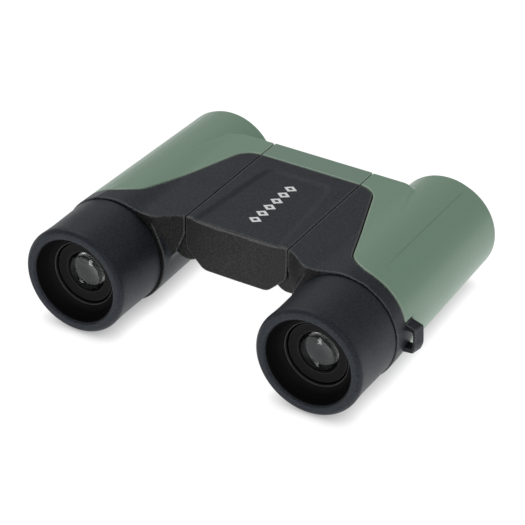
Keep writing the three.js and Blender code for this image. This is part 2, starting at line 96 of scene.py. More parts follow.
# The dark crease line on the green shells is painted shade: its tilt, width and strength, the height above
# the axis where it may show, and where it fades in and out along Y.
CREASE_ANGLE, CREASE_WIDTH, CREASE_SHADE_STRENGTH = 69.0, 0.22, 0.55
CREASE_ABOVE, CREASE_START, CREASE_END = (10.0, 11.0), (-13.4, -4.0), (36.0, 40.0)
CREASE_SHADE_COLOR = (0.10, 0.16, 0.115)
MOTIF_X, MOTIF_FROM, MOTIF_TO, MOTIF_COUNT = 0.5, -7.5, 12.5, 6
KNURL_DEPTH = 0.42
GRAIN_DEPTH = 0.04
GLASS_ROUGHNESS = 0.085
# Shares: the least lightening on a rubbed edge, part wear and part painted highlight, and how much of the
# roughness the rubbing takes away.
UNEVEN_WEAR_AND_HIGHLIGHT, WEAR_POLISH = 0.45, 0.4


# ---- Distance fields ----

def rmax(a, b, r):
    """Both a and b, with the edge between them rounded to radius r."""
    inside = np.minimum(-r, np.maximum(a, b))
    return inside + np.hypot(np.maximum(a + r, 0), np.maximum(b + r, 0))


def rmin(a, b, r):
    """Either a or b, with the corner between them filled to radius r."""
    return -rmax(-a, -b, r)


def soft_min(a, b, k):
    """Either a or b, blended over a width k."""
    h = np.clip(0.5 + 0.5 * (b - a) / k, 0, 1)
    return b * (1 - h) + a * h - k * h * (1 - h)


def slab(v, low, high):
    return np.maximum(low - v, v - high)


def rod_y(x, y, z, cx, cz, radius, low, high, edge=0.0):
    side = np.hypot(x - cx, z - cz) - radius
    ends = slab(y, low, high)
    return rmax(side, ends, edge) if edge else np.maximum(side, ends)


def box_field(x, y, z, low, high):
    across = np.maximum(slab(x, low[0], high[0]), slab(y, low[1], high[1]))
    return np.maximum(across, slab(z, low[2], high[2]))


def line_side(u, v, a, b):
    """Signed distance to the line from a to b, positive on its right."""
    du, dv = b[0] - a[0], b[1] - a[1]
    n = math.hypot(du, dv)
    return ((u - a[0]) * dv - (v - a[1]) * du) / n


def polygon(u, v, points, r):
    """A convex outline, anticlockwise, with its corners rounded."""
    field = None
    for a, b in zip(points, points[1:] + points[:1]):
        side = line_side(u, v, a, b)
        field = side if field is None else rmax(field, side, r)
    return field


def smooth_step(t):
    t = np.clip(t, 0, 1)
    return t * t * (3 - 2 * t)


# ---- Mesh making ----

def new_object(name, points, faces, normals=None, edges=None):
    mesh = bpy.data.meshes.new(name)
    mesh.from_pydata([tuple(p) for p in points], [], [tuple(f) for f in faces])
    mesh.update()
    mesh.shade_smooth()
    if normals is not None:
        mesh.normals_split_custom_set_from_vertices([tuple(n) for n in normals])
    if edges is not None:
        shares = mesh.attributes.new("edge", "FLOAT", "POINT")
        shares.data.foreach_set("value", np.array(edges, np.float32))
    obj = bpy.data.objects.new(name, mesh)
    bpy.context.collection.objects.link(obj)
    return obj


def edge_share(curvature):
    """How much a spot counts as an outside edge, from its curvature in 1/mm."""
    return np.clip((curvature - EDGE_FROM) / (EDGE_FULL - EDGE_FROM), 0, 1)


def edge_of_quads(points, quads, normals):
    """Edge share at each point: the sharpest outward turn of the normals along its sides."""
    sharpest = np.zeros(len(points))
    for i in range(4):
        a, b = quads[:, i], quads[:, (i + 1) % 4]
        along = points[b] - points[a]
        turn = (along * (normals[b] - normals[a])).sum(1) / np.maximum((along * along).sum(1), 1e-6)
        np.maximum.at(sharpest, a, turn)
        np.maximum.at(sharpest, b, turn)
    return edge_share(sharpest)


def curvature_of_profile(line):
    """Turn per millimetre at each inner point of a (radius, y) profile, positive to the left."""
    sides = np.diff(line, axis=0)
    lengths = np.maximum(np.hypot(*sides.T), 1e-6)
    cross = sides[:-1, 0] * sides[1:, 1] - sides[:-1, 1] * sides[1:, 0]
    turn = np.arctan2(cross, (sides[:-1] * sides[1:]).sum(1))
    curve = np.zeros(len(line))
    curve[1:-1] = turn / np.minimum(lengths[:-1], lengths[1:])
    return curve


def gradient(field, p, h=0.02):
    g = np.empty_like(p)
    for axis in range(3):
        step = np.zeros(3)
        step[axis] = h
        a, b = p + step, p - step
        g[:, axis] = (field(*a.T) - field(*b.T)) / (2 * h)
    return g


def field_mesh(field, low, high, step):
    """Points, quads and normals of the surface where the field is zero."""
    low, high = np.array(low, float), np.array(high, float)
    axes = [np.arange(low[i], high[i] + step, step) for i in range(3)]
    x, y, z = np.meshgrid(*axes, indexing="ij", sparse=True)
    values = np.broadcast_to(field(x, y, z), [len(a) for a in axes]).astype(np.float32)
    values = np.clip(values, -3 * step, 3 * step)
    grid = openvdb.FloatGrid(background=3 * step)
    grid.copyFromArray(np.ascontiguousarray(values))
    points, quads = grid.convertToQuads(isovalue=0.0)
    points = low + points.astype(float) * step
    for _ in range(4):
        g = gradient(field, points)
        size = np.maximum((g * g).sum(1), 0.05)
        move = -(field(*points.T) / size)[:, None] * g
        length = np.linalg.norm(move, axis=1, keepdims=True)
        points = points + move * np.minimum(1, 0.6 * step / np.maximum(length, 1e-9))
    g = gradient(field, points, 0.05)
    normals = g / np.maximum(np.linalg.norm(g, axis=1, keepdims=True), 1e-9)
    a, b, c = points[quads[:, 0]], points[quads[:, 1]], points[quads[:, 2]]
    outward = (np.cross(b - a, c - a) * normals[quads[:, 0]]).sum()
    if outward < 0:
        quads = quads[:, ::-1]
    return points, quads, normals


def placed(name, made, side, look, body, replaces=()):
    """Puts a made mesh in the row frame: side +1 or -1 for a barrel, 0 for the bridge."""
    points, quads, normals = made
    edges = edge_of_quads(points, quads, normals)
    points, normals = points.copy(), normals.copy()
    if side:
        points[:, 0] = side * (points[:, 0] + BARREL_X)
        points[:, 2] += AXIS_Z
    if side < 0:
        normals[:, 0] *= -1
        quads = quads[:, ::-1]
    obj = new_object(name, points * MM, quads, normals, edges)
    return finished(obj, look, body, replaces)


def finished(obj, look, body, replaces):
    """Gives a piece its look, its body and the CAD nodes that it stands for."""
    obj.data.materials.append(look)
    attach(obj, body)
    if replaces:
        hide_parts(*replaces)
    return obj


def smooth_profile(points, corners):
    """Rounds the corners of a (radius, y) profile. corners[i] is the rounding at point i."""
    out = []
    count = len(points)
    for i, (r, y) in enumerate(points):
        size = corners[i] if i < len(corners) else 0
        here = np.array((r, y), float)
        if not size or i in (0, count - 1):
            out.append(here)
            continue
        before, after = np.array(points[i - 1], float), np.array(points[i + 1], float)
        a = min(size, 0.48 * np.linalg.norm(before - here))
        b = min(size, 0.48 * np.linalg.norm(after - here))
        start = here + (before - here) / np.linalg.norm(before - here) * a
        end = here + (after - here) / np.linalg.norm(after - here) * b
        for t in np.linspace(0, 1, 6):
            out.append((1 - t) ** 2 * start + 2 * t * (1 - t) * here + t * t * end)
    return np.array(out)


def turned(profile, corners=(), sides=128, ribs=None):
    """Points, faces and curvatures of a profile turned about local Y. A profile that ends where
    it starts makes a ring. ribs gives each point's shift outwards and along Y."""
    line = smooth_profile(profile, corners)
    curve = curvature_of_profile(line)
    closed = np.allclose(line[0], line[-1])
    if closed:
        line, curve = line[:-1], curve[:-1]
    angles = np.arange(sides) * 2 * math.pi / sides
    points, rows, curves = [], [], []
    for (r, y), bend in zip(line, curve):
        row_sides = 1 if r < 1e-6 else sides
        rows.append(range(len(points), len(points) + row_sides))
        curves += [bend] * row_sides
        for t in angles[:row_sides]:
            out, along = ribs(r, y, t) if ribs else (0, 0)
            points.append(((r + out) * math.cos(t), y + along, (r + out) * math.sin(t)))
    faces = []
    pairs = zip(rows, rows[1:] + rows[:1] if closed else rows[1:])
    for low, up in pairs:
        for i in range(sides):
            j = (i + 1) % sides
            ring = [up[i % len(up)], up[j % len(up)], low[j % len(low)], low[i % len(low)]]
            ring = [v for k, v in enumerate(ring) if v != ring[k - 1]]
            if len(ring) > 2:
                faces.append(ring)
    return np.array(points, float), faces, np.array(curves)


def turned_piece(name, profile, corners, centre, look, body, replaces, sides=128, ribs=None):
    """A turned profile as a piece, its axis at centre, an (x, z) place."""
    points, faces, curves = turned(profile, corners, sides, ribs)
    points = points + np.array((centre[0], 0, centre[1]))
    if signed_volume(points, faces) < 0:
        faces = [f[::-1] for f in faces]
        curves = -curves
    obj = new_object(name, points * MM, faces, None, edge_share(curves))
    obj.data.set_sharp_from_angle(angle=math.radians(SHARP_ANGLE))
    return finished(obj, look, body, replaces)


def signed_volume(points, faces):
    """Six times the volume inside the faces, positive when they wind outwards."""
    total = 0.0
    for f in faces:
        for i in range(1, len(f) - 1):
            total += np.dot(points[f[0]], np.cross(points[f[i]], points[f[i + 1]]))
    return total


# ---- Materials ----

def material(name, color, roughness, **extra):
    """A new material, its node tree and its shader; extra sets the shader's own sockets."""
    m = bpy.data.materials.new(name)
    m.use_nodes = True
    nodes = m.node_tree.nodes
    shader = nodes["Principled BSDF"]
    shader.inputs["Base Color"].default_value = (*color, 1)
    shader.inputs["Roughness"].default_value = roughness
    for key, value in extra.items():
        shader.inputs[key.replace("_", " ")].default_value = value
    return m, m.node_tree, shader


def node(tree, kind, **inputs):
    """A new node with the sockets or settings given."""
    n = tree.nodes.new(kind)
    for key, value in inputs.items():
        key = key.replace("_", " ")
        if key in n.inputs:
            n.inputs[key].default_value = value
        else:
            setattr(n, key.replace(" ", "_"), value)
    return n


def color_mix(tree, first, second):
    """A colour mix node with its factor, both colours and result picked out."""
    mix = node(tree, "ShaderNodeMix", data_type="RGBA")
    colors = [s for s in mix.inputs if s.type == "RGBA"]
    for socket, value in zip(colors, (first, second)):
        if isinstance(value, tuple):
            socket.default_value = (*value, 1)
        else:
            tree.links.new(value, socket)
    result = [s for s in mix.outputs if s.type == "RGBA"][0]
    return mix.inputs["Factor"], result


def spread_of(tree, source, low, high, to_low=0.0, to_high=1.0):
    """Maps source from low..high to to_low..to_high."""
    limit = node(tree, "ShaderNodeMapRange")
    ends = {"From Min": low, "From Max": high, "To Min": to_low, "To Max": to_high}
    for key, value in ends.items():
        limit.inputs[key].default_value = value
    tree.links.new(source, limit.inputs["Value"])
    return limit.outputs["Result"]


def moulded(name, color, shade, roughness, spread, grain, bump, wear, wear_highlight_color, **extra):
    """Moulded plastic or rubber: speckled colour, uneven gloss, fine grain and edges lightened, part wear and
    part painted highlight.
    """
    m, tree, shader = material(name, color, roughness, **extra)
    link = tree.links.new
    place = tree.nodes.new("ShaderNodeTexCoord").outputs["Object"]
    cloud = node(tree, "ShaderNodeTexNoise", Scale=60.0, Detail=3.0, Roughness=0.55)
    fine = node(tree, "ShaderNodeTexNoise", Scale=grain, Detail=2.0, Roughness=0.6)
    link(place, cloud.inputs["Vector"])
    link(place, fine.inputs["Vector"])
    speckle, speckled = color_mix(tree, color, shade)
    link(spread_of(tree, fine.outputs["Fac"], 0.36, 0.64), speckle)
    # Sharp outside edges are lightened towards the wear colour: part rubbed wear, part painted edge
    # highlight.
    share = node(tree, "ShaderNodeAttribute", attribute_name="edge")
    edge = spread_of(tree, share.outputs["Fac"], 0.4, 0.95)
    rubbed_and_highlit = node(tree, "ShaderNodeMath", operation="MULTIPLY")
    link(edge, rubbed_and_highlit.inputs[0])
    link(spread_of(tree, fine.outputs["Fac"], 0.3, 0.6, UNEVEN_WEAR_AND_HIGHLIGHT * wear, wear), rubbed_and_highlit.inputs[1])
    worn_and_highlit, result = color_mix(tree, speckled, wear_highlight_color)
    link(rubbed_and_highlit.outputs["Value"], worn_and_highlit)
    link(result, shader.inputs["Base Color"])
    gloss = spread_of(tree, cloud.outputs["Fac"], 0.3, 0.7, roughness - spread, roughness + spread)
    polish = node(tree, "ShaderNodeMath", operation="MULTIPLY_ADD")
    link(rubbed_and_highlit.outputs["Value"], polish.inputs[0])
    polish.inputs[1].default_value = -WEAR_POLISH * roughness
    link(gloss, polish.inputs[2])
    link(polish.outputs["Value"], shader.inputs["Roughness"])
    relief = node(tree, "ShaderNodeBump", Strength=bump, Distance=GRAIN_DEPTH * MM)
    link(fine.outputs["Fac"], relief.inputs["Height"])
    link(relief.outputs["Normal"], shader.inputs["Normal"])
    return m


def with_crease_shade(m):
    """Paints a dark line of painted shade along the shallow crease that runs along the top of each green
    shell.
    """
    tree = m.node_tree
    shader = tree.nodes["Principled BSDF"]
    painted = shader.inputs["Base Color"].links[0].from_socket
    split = node(tree, "ShaderNodeSeparateXYZ")
    tree.links.new(tree.nodes.new("ShaderNodeTexCoord").outputs["Object"], split.inputs["Vector"])

    def math_node(operation, *values):
        n = node(tree, "ShaderNodeMath", operation=operation)
        for socket, value in zip(n.inputs, values):
            if isinstance(value, float):
                socket.default_value = value
            else:
                tree.links.new(value, socket)
        return n.outputs["Value"]

    across = math_node("SUBTRACT", math_node("ABSOLUTE", split.outputs["X"]), BARREL_X * MM)
    height = math_node("SUBTRACT", split.outputs["Z"], AXIS_Z * MM)
    tilt = math.radians(CREASE_ANGLE)
    off = math_node("SUBTRACT", math_node("MULTIPLY", height, math.cos(tilt)),
                    math_node("MULTIPLY", across, math.sin(tilt)))
    near = spread_of(tree, math_node("ABSOLUTE", off), 0.05 * MM, CREASE_WIDTH * MM, 1.0, 0.0)
    above = spread_of(tree, height, *(v * MM for v in CREASE_ABOVE))
    fade_in = spread_of(tree, split.outputs["Y"], *(v * MM for v in CREASE_START))
    fade_out = spread_of(tree, split.outputs["Y"], *(v * MM for v in CREASE_END), 1.0, 0.0)
    along = math_node("MULTIPLY", fade_in, fade_out)
    crease_shade_mask = math_node("MULTIPLY", math_node("MULTIPLY", near, above), along)
    factor, result = color_mix(tree, painted, CREASE_SHADE_COLOR)
    tree.links.new(math_node("MULTIPLY", crease_shade_mask, CREASE_SHADE_STRENGTH), factor)
    tree.links.new(result, shader.inputs["Base Color"])
    return m


# Each look's wear colour is lightened onto its sharp edges: part wear, part painted edge highlight.
GREEN = with_crease_shade(moulded("green_satin_shell", (0.184, 0.298, 0.212), (0.199, 0.32, 0.229), 0.38, 0.03, 3000,
                        0.05, 0.7, (0.40, 0.50, 0.40), Coat_Weight=0.12, Coat_Roughness=0.25))
GREEN_TRIM = moulded("green_trim", (0.170, 0.270, 0.200), (0.183, 0.290, 0.215), 0.40, 0.03, 3000, 0.05,
                     0.6, (0.34, 0.44, 0.36), Coat_Weight=0.12, Coat_Roughness=0.25)
COOL = (0.80, 0.90, 1.0, 1)
BLACK = moulded("black_fine_texture", (0.005, 0.0062, 0.0085), (0.0225, 0.0245, 0.0295), 0.46, 0.04, 2000,
                0.35, 0.9, (0.085, 0.085, 0.088), Specular_IOR_Level=0.32, Specular_Tint=COOL)
BRIDGE_BLACK = moulded("black_matt_texture", (0.006, 0.006, 0.006), (0.028, 0.028, 0.027), 0.56, 0.04,
                       2200, 0.6, 0.9, (0.115, 0.115, 0.115), Specular_IOR_Level=0.3)
# A darker black for the wing's rear faces: painted shade.
WING_SHADED_BLACK = moulded("black_shaded_texture", (0.002, 0.002, 0.002), (0.018, 0.0175, 0.017), 0.56, 0.04,
                    1700, 0.5, 0.8, (0.10, 0.10, 0.10), Specular_IOR_Level=0.2)
RUBBER = moulded("satin_rubber", (0.004, 0.005, 0.0085), (0.0195, 0.0212, 0.0275), 0.5, 0.04, 2000, 0.25,
                 0.3, (0.05, 0.052, 0.056), Specular_IOR_Level=0.36, Specular_Tint=COOL)
# A darker rubber for the inside of the cup: painted shade in the hollow.
CUP_INSIDE_SHADE = moulded("cup_inside_rubber", (0.002, 0.002, 0.002), (0.0035, 0.0035, 0.0035), 0.6, 0.04, 3000,
                     0.25, 1.0, (0.07, 0.07, 0.07), Specular_IOR_Level=0.1)
INNER = moulded("flat_black_moulding", (0.004, 0.004, 0.004), (0.006, 0.006, 0.006), 0.6, 0.05, 240, 0.04,
                0.0, (0.03, 0.03, 0.03), Specular_IOR_Level=0.2)
RING = moulded("black_lens_ring", (0.004, 0.0045, 0.004), (0.009, 0.0095, 0.009), 0.5, 0.04, 3000, 0.2,
               0.6, (0.04, 0.04, 0.04), Specular_IOR_Level=0.1)
PRINT = moulded("printed_white", (0.84, 0.86, 0.87), (0.92, 0.93, 0.94), 0.55, 0.05, 3000, 0.2,
                0.0, (0.8, 0.8, 0.8))


def metal(name, color, roughness):
    """Turned metal: fine uneven polish and slight tarnish."""
    m, tree, shader = material(name, color, roughness, Metallic=1.0)
    place = tree.nodes.new("ShaderNodeTexCoord").outputs["Object"]
    lines = node(tree, "ShaderNodeTexNoise", Scale=900.0, Detail=2.0)
    tree.links.new(place, lines.inputs["Vector"])
    gloss = spread_of(tree, lines.outputs["Fac"], 0.3, 0.7, roughness - 0.08, roughness + 0.08)
    tree.links.new(gloss, shader.inputs["Roughness"])
    factor, result = color_mix(tree, color, tuple(0.8 * v for v in color))
    tree.links.new(spread_of(tree, lines.outputs["Fac"], 0.35, 0.65), factor)
    tree.links.new(result, shader.inputs["Base Color"])
    return m


STEEL = metal("turned_steel", (0.55, 0.56, 0.57), 0.32)
BRASS = metal("turned_brass", (0.62, 0.47, 0.22), 0.35)


def glass(name, tint, coating, **extra):
    """Coated optical glass with the faintest cloudiness."""
    m, tree, shader = material(name, tint, GLASS_ROUGHNESS, Specular_Tint=(*coating, 1), **extra)
    place = tree.nodes.new("ShaderNodeTexCoord").outputs["Object"]
    haze = node(tree, "ShaderNodeTexNoise", Scale=150.0, Detail=2.0)
    tree.links.new(place, haze.inputs["Vector"])
    factor, result = color_mix(tree, tint, tuple(0.94 * v for v in tint))
    tree.links.new(spread_of(tree, haze.outputs["Fac"], 0.4, 0.7), factor)
    tree.links.new(result, shader.inputs["Base Color"])
    return m


EYE_GLASS = glass("coated_eye_glass", (0.70, 0.71, 0.70), (0.95, 0.97, 1.0), IOR=1.42,
                  Transmission_Weight=1.0, Specular_IOR_Level=0.24)
# The objective lens is opaque: its dark body is painted shade standing for the dark inside seen through the
# glass, under the green reflection of its coating.
FRONT_GLASS = glass("coated_objective_glass", (0.005, 0.012, 0.008), (0.55, 0.95, 0.72), IOR=1.5,
                    Specular_IOR_Level=0.5)

# ---- Camera, light and floor ----

# Degrees, and millimetres from LOOK_AT.
AZIMUTH, ELEVATION, ROLL = 29.52, 32.24, 1.47
DISTANCE, ACROSS, UPRIGHT = 607.7, -3.24, -5.12
LENS, SENSOR = 144.6, 36
LOOK_AT = Vector((0, 4.45, AXIS_Z))


def camera():
    """The camera at the viewing angle, turned about LOOK_AT and moved within its own plane."""
    az, el, roll = (math.radians(v) for v in (AZIMUTH, ELEVATION, ROLL))
    back = Vector((math.sin(az) * math.cos(el), -math.cos(az) * math.cos(el), math.sin(el)))
    right = Vector((math.cos(az), math.sin(az), 0))
    up = back.cross(right)
    across = right * math.cos(roll) + up * math.sin(roll)
    upright = up * math.cos(roll) - right * math.sin(roll)
    place = LOOK_AT + back * DISTANCE + across * ACROSS + upright * UPRIGHT
    data = bpy.data.cameras.new("camera")
    data.sensor_width = SENSOR
    data.lens = LENS
    data.clip_start = 0.01
    obj = bpy.data.objects.new("camera", data)
    bpy.context.collection.objects.link(obj)
    turn = Matrix((across, upright, back)).transposed().to_4x4()
    obj.matrix_world = Matrix.Translation(place * MM) @ turn
    bpy.context.scene.camera = obj


def area_light(name, place, target, size, power):
    """A soft light at place, in metres, facing target, with its power in watts."""
    data = bpy.data.lights.new(name, "AREA")
    data.shape = "RECTANGLE"
    data.size, data.size_y = size
    data.energy = power
    obj = bpy.data.objects.new(name, data)
    bpy.context.collection.objects.link(obj)
    obj.location = place
    obj.rotation_euler = (Vector(place) - Vector(target)).to_track_quat("Z", "Y").to_euler()


WORLD_LIGHT = 0.42
# The floor's half-width and the reach of its contact shadow are in metres.
FLOOR_HALF, FLOOR_GLOW, FLOOR_CONTACT, FLOOR_SHADE = 3.0, 0.99, 0.006, 0.3


def floor_material():
    """A bright sweep whose glow darkens only close to what stands on it: a painted contact shadow."""
    m, tree, shader = material("floor_white", (0.12, 0.12, 0.12), 0.9, Emission_Color=(1, 1, 1, 1),
                               Specular_IOR_Level=0.0)
    contact = node(tree, "ShaderNodeAmbientOcclusion", Distance=FLOOR_CONTACT)
    glow = spread_of(tree, contact.outputs["AO"], 0.05, 0.85, FLOOR_SHADE * FLOOR_GLOW, FLOOR_GLOW)
    tree.links.new(glow, shader.inputs["Emission Strength"])
    return m


def studio():
    """Pale floor, even surroundings and three soft lights."""
    scene = bpy.context.scene
    scene.view_settings.view_transform = "Standard"
    world = bpy.data.worlds.new("studio")
    scene.world = world
    world.use_nodes = True
    background = world.node_tree.nodes["Background"]
    background.inputs["Color"].default_value = (1, 1, 1, 1)
    background.inputs["Strength"].default_value = WORLD_LIGHT
    corners = [(-1, -1), (1, -1), (1, 1), (-1, 1)]
    floor = new_object("floor", [(x * FLOOR_HALF, y * FLOOR_HALF, 0) for x, y in corners], [(0, 1, 2, 3)])
    floor.data.materials.append(floor_material())
    area_light("key", (-0.45, 0.25, 0.8), (0, 0, 0), (0.7, 0.7), 2.2)
    area_light("fill", (0.7, -0.5, 0.6), (0, 0, 0.02), (0.4, 0.6), 0.7)
    area_light("window", (-0.13, -0.64, 0.115), (0, 0, 0.02), (0.12, 0.17), 0.5)


camera()
studio()

# ---- Barrels ----

def barrel_field(x, y, z):
    """The tapered tube, with a slight swell towards the bridge."""
    radius = REAR_RADIUS + (FRONT_RADIUS - REAR_RADIUS) * (y - SEAM_Y) / (FRONT_Y - SEAM_Y)
    tube = np.hypot(x, z) - radius
    swell = np.hypot(x + SWELL_X, z - SWELL_Z) - radius
    return np.minimum(tube, swell)


def wing_rear(x):
    """The sweep of the wing's rear face, from the hinge to the eyecup, and its steepness."""
    t = np.clip((x - SWEEP_FROM) / SWEEP_WIDTH, 0, 1)
    drop = BRIDGE_REAR_Y - SEAM_Y
    slope = drop * 6 * t * (1 - t) / SWEEP_WIDTH
    return BRIDGE_REAR_Y - drop * smooth_step(t), np.sqrt(1 + slope * slope)


def wing_field(x, y, z):
    """The flat-topped wing between the hinge and the tube."""
    seam = WING_X + HALF_SEAM
    below = np.maximum(
        line_side(x, z, (seam, HINGE_RISE), WING_CHIN),
        np.maximum(line_side(x, z, WING_CHIN, WING_HEEL), WING_HEEL[1] - z),
    )
    section = rmax(rmax(z - TOP_RISE, seam - x, 0.3), below, 0.3)
    inner = x + WING_ROOT - np.maximum(WING_TAPER_Y - y, 0) * WING_TAPER
    plan = rmax(inner / 1.03, y - BRIDGE_FRONT_Y, 4.6)
    rear_y, scale = wing_rear(x)
    rear = (rear_y - y) / scale
    return rmax(rmax(section, plan, 0.7), rear, 0.25)


def outer_field(x, y, z):
    """The whole outside of a barrel: tube and wing."""
    barrel = rmax(barrel_field(x, y, z), slab(y, SEAM_Y, FRONT_Y + 50), 0.3)
    both = soft_min(barrel, wing_field(x, y, z), WING_BLEND)
    return rmax(np.maximum(both, SEAM_Y - y), y - FRONT_Y, 0.7)


def green_plan(x, y):
    """Negative in the green zone, seen from above."""
    beside = TRIM_Y - y
    diagonal = -((y - SLANT_Y) + SLANT * (x - SLANT_X)) / math.hypot(1, SLANT)
    front = rmin(beside, diagonal, GREEN_INNER_ROUND)
    return rmax(front, GREEN_REAR_Y - y, GREEN_OUTER_ROUND)


def lug_pad(x, y, z, gap=0.0):
    """The black patch that the strap lug stands on."""
    return box_field(x, y, z, (12, -17.5, -6.4 - gap), (22, -12.9 + gap, 3.6 + gap))


def hinge_relief(x, y, z):
    """Room for the bridge's knuckles."""
    return rod_y(x, y, z, WING_X, HINGE_RISE, RELIEF_RADIUS, *HINGE_ENDS)


def shell_field(x, y, z):
    """The green front shell."""
    zone = np.maximum(green_plan(x, y), -lug_pad(x, y, z, 0.22))
    skin = rmax(outer_field(x, y, z), zone, 0.45)
    hollow = np.maximum(outer_field(x, y, z) + SKIN, y - FRONT_Y - 5)
    mouth = np.hypot(x, z) - MOUTH_RADIUS
    return rmax(np.maximum(np.maximum(skin, -hollow), -hinge_relief(x, y, z)), -mouth, 0.2)


def housing_field(x, y, z):
    """The black housing: the rear skin, the core under the green shell and the hinge knuckles."""
    outer = outer_field(x, y, z)
    zone = np.minimum(-green_plan(x, y) + PARTING_GAP, lug_pad(x, y, z))
    black = rmax(outer, zone, 0.25)
    core = np.maximum(outer + SKIN + PARTING_GAP, y - FRONT_Y + 1.2)
    body = np.minimum(black, core)
    body = np.maximum(body, -hinge_relief(x, y, z))
    for low, high in WING_KNUCKLES:
        knuckle = rod_y(x, y, z, WING_X, HINGE_RISE, KNUCKLE_RADIUS, low, high, 0.3)
        web_end = (WING_X + WING_WEB, high, HINGE_RISE + WEB_HEIGHT)
        web = box_field(x, y, z, (WING_X, low, HINGE_RISE), web_end)
        body = np.minimum(body, np.minimum(knuckle, web))
    bore = np.hypot(x, z) - BORE_RADIUS
    return np.maximum(body, -bore)


LUG_OUTER = [(14.4, 3.9), (14.4, -6.0), (19.1, -5.5), (19.9, -3.1), (19.5, 2.4)]
LUG_INNER = [(15.2, 1.7), (15.2, -4.5), (18.4, -4.1), (18.95, -2.8), (18.6, 1.1)]
LUG_LEAN = 0.2


def lug_field(x, y, z):
    """The strap lug: a leaning loop with a slot through it."""
    lean = x + LUG_LEAN * np.minimum(-12.8 - y, 3.7)
    outer = rmax(polygon(lean, z, LUG_OUTER, 0.35), slab(y, -16.5, -12.8), 0.3)
    hole = polygon(lean, z, LUG_INNER, 0.3)
    outside = -(barrel_field(x, y, z) + 0.2)
    return np.maximum(rmax(outer, -hole, 0.25), outside)


BARREL_LOW, BARREL_HIGH = (-26.5, -23.0, -17.5), (17.5, 43.0, 17.8)
shell_mesh = field_mesh(shell_field, BARREL_LOW, BARREL_HIGH, STEP)
housing_mesh = field_mesh(housing_field, BARREL_LOW, BARREL_HIGH, HOUSING_STEP)
lug_mesh = field_mesh(lug_field, (14, -17.2, -6.8), (21, -12, 5), LUG_STEP)

# Each profile is a list of (radius, y) points, and each CORNERS list has the rounding at its points.
CUP = [
    (9.6, -35.9), (9.6, -37.45), (9.78, -37.6), (9.98, -37.45), (11.3, -38.3), (12.4, -40.4), (12.9, -42.2),
    (13.5, RIM_Y), (15.2, RIM_Y), (16.2, -41.9), (15.92, -36.5), (16.08, -22.6), (15.8, -22.35),
    (12.4, -22.35), (12.4, -35.8), (9.6, -35.9),
]
CUP_CORNERS = [0, 0.1, 0.1, 0.2, 0.9, 0.8, 0.3, 0.35, 0.4, 0.8, 3.0, 0.25, 0.2, 0, 0, 0]
EYE_TUBE = [(8.6, -30), (8.6, -35.6), (9.2, -35.6), (9.2, -12), (7.4, -12), (7.4, -30), (8.6, -30)]
EYE_RING = [
    (6.12, -34.5), (6.12, -36.15), (6.35, -36.45), (8.9, -36.85), (9.15, -36.6), (9.15, -34.5), (6.12, -34.5),
]
EYE_RING_CORNERS = [0, 0.1, 0.2, 0.2, 0.2, 0, 0]
EYE_GLASS_RADIUS = 6.08


def dome(radius, edge_y, sag, count=14):
    """The spherical face of a lens, from its centre to its edge; a negative sag bulges to +Y."""
    ball = (radius * radius + sag * sag) / (2 * abs(sag))
    reach = math.asin(radius / ball)
    turn = math.copysign(1, sag)
    return [
        (ball * math.sin(t), edge_y - sag + turn * ball * (1 - math.cos(t)))
        for t in np.linspace(0, reach, count)
    ]


def lens_profile(radius, rear_y, rear_sag, front_y, front_sag):
    """A lens that bulges both ways, from its two edges' places and its faces' sags."""
    return dome(radius, rear_y, rear_sag) + dome(radius, front_y, -front_sag)[::-1]


BEZEL = [
    (11.4, 38.4), (12.5, 38.4), (12.5, 41.2), (13.35, 41.2), (13.35, FRONT_Y), (12.6, FRONT_Y), (11.7, 41.3),
    (11.4, 40.6), (11.4, 38.4),
]
BEZEL_CORNERS = [0, 0, 0, 0, 0.25, 0.35, 0.4, 0.4, 0]
CELL = [
    (11.2, 20.2), (12.4, 20.2), (12.4, 36.2), (11.4, 36.2), (11.4, 30.4), (10.4, 30.0), (10.4, 29.2),
    (11.2, 29.2), (11.2, 20.2),
]
CELL_CORNERS = [0, 0.2, 0.3, 0.3, 0.1, 0.1, 0.1, 0.1, 0]
RETAINER = [(10.3, 34.6), (11.3, 34.6), (11.3, 36.0), (10.9, 36.0), (10.3, 35.5), (10.3, 34.6)]
RETAINER_CORNERS = [0, 0, 0.15, 0.15, 0.15, 0]


def spanner_slots(r, y, t):
    """Two slots across the retainer's front face."""
    return 0, (-0.55 if y > 35.3 and abs(math.sin(t)) < 0.11 else 0)


def front_end(name, at, body, front_body):
    """The objective's fixed bezel, and the cell, lens and retainer that focus inside it."""
    turned_piece(name + "_front_bezel", BEZEL, BEZEL_CORNERS, at, BLACK, body,
                 [name + "_objective_bezel"])
    turned_piece(name + "_front_cell", CELL, CELL_CORNERS, at, INNER, front_body,
                 [name + "_objective_cell"])
    turned_piece(name + "_front_retainer", RETAINER, RETAINER_CORNERS, at, RING, front_body,
                 [name + "_objective_retainer"], 192, spanner_slots)
    turned_piece(name + "_front_glass", lens_profile(11.1, 31.4, 1.0, 33.2, 1.5), (), at, FRONT_GLASS,
                 front_body, [name + "_objective_lens"])


